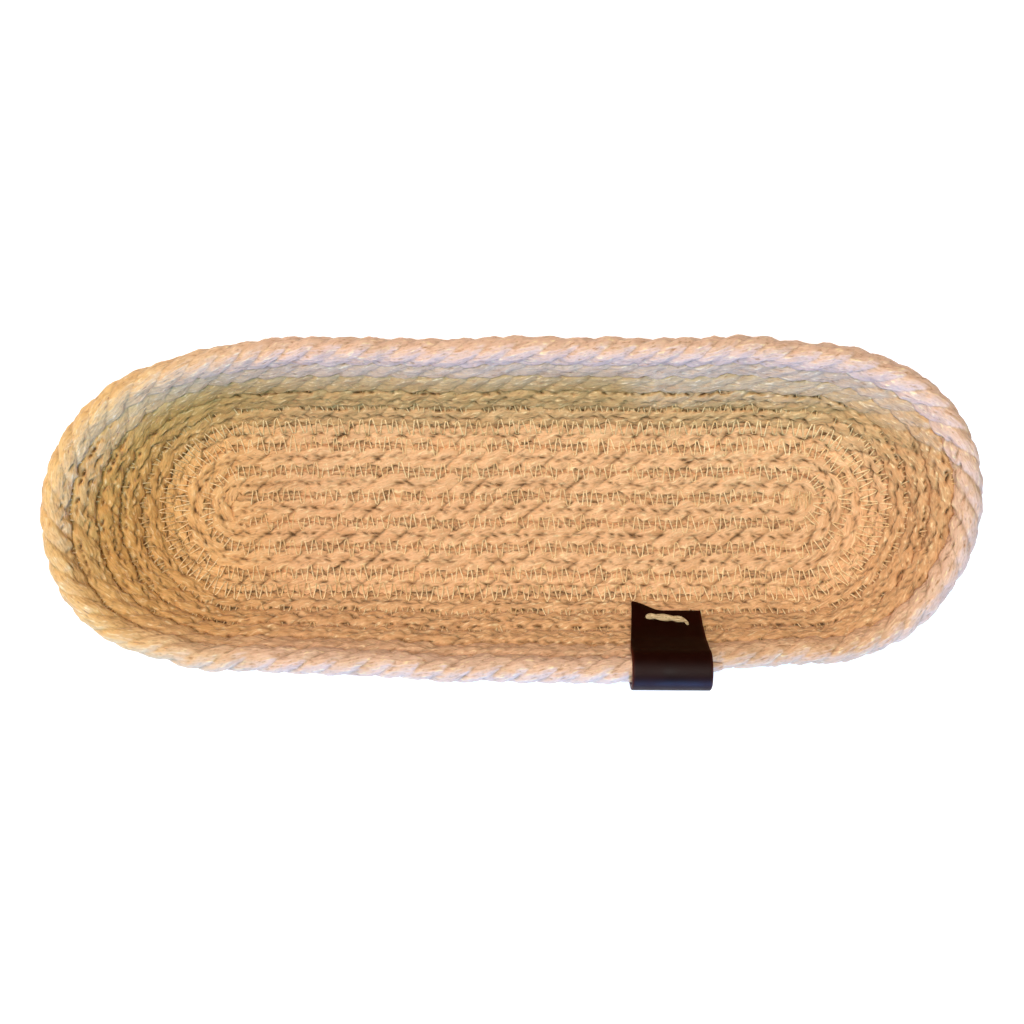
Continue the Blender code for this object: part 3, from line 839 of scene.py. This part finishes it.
# The tie. Two-ply jute twine goes through both flaps and the rope between them. Its bar shows on
# the inner flap, thick in the middle and sinking into the holes, and its knot is outside.
tie_course = rim_course - 2.5
tie_width = 0.0134  # between the two holes
tie_aside = 0.0005  # of the tag's middle, to the right
tie_slant = 0.0024  # by which the right hole is nearer to the rim
twine_radius = 0.00105  # where it lies on the leather
ply_count = 2
ply_radius = 0.00076
ply_offset = 0.00038
twine_lay = 0.0110
twine_step = 0.00035
loop_power = 0.22  # of the sine and cosine in the loop's superellipse
bar_bulge = 0.0004


def tie_loop():
    """The twine's line: a superellipse through the wall, its inner bar bowed off the leather."""
    point, climb, inward = front_wall(np.float64(tie_course))
    point = point + np.array((tie_aside, 0.0, 0.0))
    run = np.array((tie_width, 0.0, 0.0)) + climb * tie_slant
    half_width = np.linalg.norm(run) / 2
    run = run / np.linalg.norm(run)
    half_depth = rope_radius + tag_clearance + leather_thickness + twine_radius
    angle = np.linspace(0, 2 * math.pi, 241)[:-1]
    run_reach = half_width * np.sign(np.cos(angle)) * np.abs(np.cos(angle)) ** loop_power
    depth_reach = half_depth * np.sign(np.sin(angle)) * np.abs(np.sin(angle)) ** loop_power
    depth_reach += bar_bulge * np.clip(np.sin(angle), 0, 1) ** 4
    loop = point + run * run_reach[:, None] + inward * depth_reach[:, None]
    return np.concatenate((loop, loop[:1]))


def twisted(path, turns_offset=0.0):
    """Plies round a path: each is a helix of ply_offset about it, a turn every twine_lay."""
    steps = np.linalg.norm(np.diff(path, axis=0), axis=1)
    along = np.concatenate(([0], np.cumsum(steps)))
    even = np.linspace(0, along[-1], int(along[-1] / twine_step))
    line = np.column_stack([np.interp(even, along, column) for column in path.T])
    heading = unit(np.gradient(line, axis=0))
    guide = unit(np.cross(heading, np.array((0.3, 0.9, 0.31))))
    other = np.cross(heading, guide)
    plies = []
    for ply in range(ply_count):
        angle = 2 * math.pi * (even / twine_lay + ply / ply_count + turns_offset)[:, None]
        plies.append(line + ply_offset * (guide * np.cos(angle) + other * np.sin(angle)))
    return np.array(plies), np.broadcast_to(guide, (ply_count,) + guide.shape)


def jute_twine():
    """Jute twine: the rope's fibre spun finer and bleached, its streaks 1.6 mm by 0.22 mm."""
    made, tree, shader = new_material("jute_twine")
    place = node(tree, "ShaderNodeTexCoord").outputs["Object"]
    scaled = node(tree, "ShaderNodeMapping", Vector=place, Scale=(1 / 0.0016, 1 / 0.00022, 1 / 0.00022))
    streak = node(tree, "ShaderNodeTexNoise", Vector=scaled.outputs[0], Scale=1.0, Detail=3.0)
    pale = node(tree, "ShaderNodeValToRGB", stops=((0.30, "#8E7A50"), (0.52, "#C6B284"), (0.75, "#EADDB6")),
                Fac=streak.outputs["Fac"])
    bump = node(tree, "ShaderNodeBump", Strength=0.5, Distance=0.00015, Height=streak.outputs["Fac"])
    connect(tree, shader, Base_Color=pale.outputs["Color"], Normal=bump.outputs[0], Roughness=0.8)
    return made


twine_material = jute_twine()
loop_plies, loop_guide = twisted(tie_loop())
to_hole = 1 - np.abs(loop_plies[:, :, 0] - tag_centre) / (tie_width / 2)
loop_middle = loop_plies.mean(axis=0)
drawn = 0.25 + 0.75 * smooth(to_hole / 0.5)[..., None]
loop_plies = loop_middle + (loop_plies - loop_middle) * drawn
loop_radius = ply_radius * (0.55 + 0.45 * smooth(to_hole / 0.35))
twine_loop = round_tube("twine_loop", loop_plies, loop_guide, loop_radius, 10)
twine_loop.data.materials.append(twine_material)
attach(twine_loop, "root")
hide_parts("tag_twine")


knot_off = 0.0021  # from the outer flap to the knot's middle
knot_wide, knot_high, knot_deep = 0.0013, 0.0015, 0.0006
left_tail, left_spread, left_bow = 0.0085, 0.0040, 0.0003  # down, aside and off the flap
right_tail, right_spread, right_bow = 0.0075, 0.0045, 0.0004


def knot_path():
    """A half hitch pulled tight on the outer bar, with both tails hanging down the flap.

    The turns are sine waves across, up and off the flap, and each tail is a bowed line."""
    point, climb, inward = front_wall(np.float64(tie_course))
    outer = point - inward * (rope_radius + tag_clearance + leather_thickness + knot_off)
    x, off = np.array((1.0, 0.0, 0.0)), -inward
    angle = np.linspace(-0.5 * math.pi, 2.6 * math.pi, 60)[:, None]
    turns = outer + x * knot_wide * np.sin(angle) + climb * knot_high * np.cos(angle)
    turns = turns + off * knot_deep * np.cos(angle * 1.5)
    fall = np.linspace(0.05, 1, 14)[:, None]
    left = turns[0] - (climb * left_tail + x * left_spread) * fall + off * left_bow * np.sin(fall * 3)
    right = turns[-1] - (climb * right_tail - x * right_spread) * fall
    right = right + off * right_bow * np.sin(fall * 3)
    return np.concatenate((left[::-1], turns, right))


knot_plies, knot_guide = twisted(knot_path(), 0.25)
twine_knot = round_tube("twine_knot", knot_plies, knot_guide, ply_radius * 0.92, 10)
twine_knot.data.materials.append(twine_material)
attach(twine_knot, "root")
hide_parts("tag_twine")


# The studio: a white table top under a dim sky, a neutral lamp above and a warm one beside it, a
# low one at the left and two blue ones low in front. The camera looks down from nearly straight
# above, a little to the front and right of the middle.
table_size = 6.0


def table_white():
    """Matt white laminate. To the camera it is lifted to the photograph's white and keeps its shadow."""
    made, tree, shader = new_material("table_white")
    rays = node(tree, "ShaderNodeLightPath").outputs
    seen = rays["Is Camera Ray"]
    for kind in ("Is Glossy Ray", "Is Transmission Ray"):
        seen = node(tree, "ShaderNodeMath", {"operation": "MAXIMUM"}, _0=seen, _1=rays[kind]).outputs[0]
    lift = node(tree, "ShaderNodeMath", {"operation": "MULTIPLY"}, _0=seen, _1=0.36).outputs[0]
    connect(tree, shader, Base_Color=linear("#F4F4F4"), Roughness=0.9, Specular_IOR_Level=0.0,
            Emission_Color=(1, 1, 1, 1), Emission_Strength=lift)
    return made


table_mesh = bpy.data.meshes.new("table_top")
table_mesh.from_pydata(
    [(x * table_size / 2, y * table_size / 2, 0) for x, y in ((-1, -1), (1, -1), (1, 1), (-1, 1))],
    [], [(0, 1, 2, 3)],
)
table_top = bpy.data.objects.new("table_top", table_mesh)
bpy.context.scene.collection.objects.link(table_top)
table_mesh.materials.append(table_white())


def soft_lamp(name, place, aim, size, power, colour):
    """A square area lamp that faces its aim, its colour in linear light."""
    lamp = bpy.data.lights.new(name, "AREA")
    lamp.shape, lamp.size, lamp.energy, lamp.color = "SQUARE", size, power, colour
    holder = bpy.data.objects.new(name, lamp)
    bpy.context.scene.collection.objects.link(holder)
    holder.location = place
    holder.rotation_euler = (Vector(aim) - Vector(place)).to_track_quat("-Z", "Y").to_euler()


soft_lamp("lamp_above", (0, 0, 1.2), (0, 0, 0), 0.4, 9.3, (0.96, 1.0, 0.93))
soft_lamp("warm_lamp_left", (-0.25, 0.20, 1.0), (0, 0, 0), 0.6, 4.8, (1.0, 0.58, 0.56))
soft_lamp("low_lamp_left", (-1.0, 0, 0.35), (0, 0, 0), 0.3, 5.8, (0.60, 0.61, 0.64))
soft_lamp("cool_lamp_in_front", (0.30, -0.95, 0.207), (0, 0, 0.03), 0.12, 12.9, (0.23, 0.375, 1.0))
soft_lamp("blue_fill_in_front", (0.15, -0.85, 0.45), (0, 0, 0), 0.3, 2.4, (0.0, 0.65, 1.0))

world = bpy.data.worlds.new("soft_sky")
bpy.context.scene.world = world
world.use_nodes = True
sky = world.node_tree.nodes["Background"]
connect(world.node_tree, sky, Color=linear("#FBFBFF"), Strength=0.03)

camera_place = (0.00271, -0.01011, 0.400)
camera_aim = (-0.00261, -0.00052, 0.0)
camera_roll = 0.0054
lens_mm = 42.1
camera_data = bpy.data.cameras.new("camera_above")
camera_data.lens = lens_mm
camera_data.sensor_width = 36.0
camera_data.clip_start, camera_data.clip_end = 0.01, 20.0
camera = bpy.data.objects.new("camera_above", camera_data)
bpy.context.scene.collection.objects.link(camera)
back = (Vector(camera_place) - Vector(camera_aim)).normalized()
right = Vector((-math.sin(camera_roll), math.cos(camera_roll), 0)).cross(back).normalized()
turned = Matrix((right, back.cross(right), back)).transposed().to_4x4()
camera.matrix_world = Matrix.Translation(camera_place) @ turned
bpy.context.scene.camera = camera
bpy.context.scene.view_settings.view_transform = "Standard"
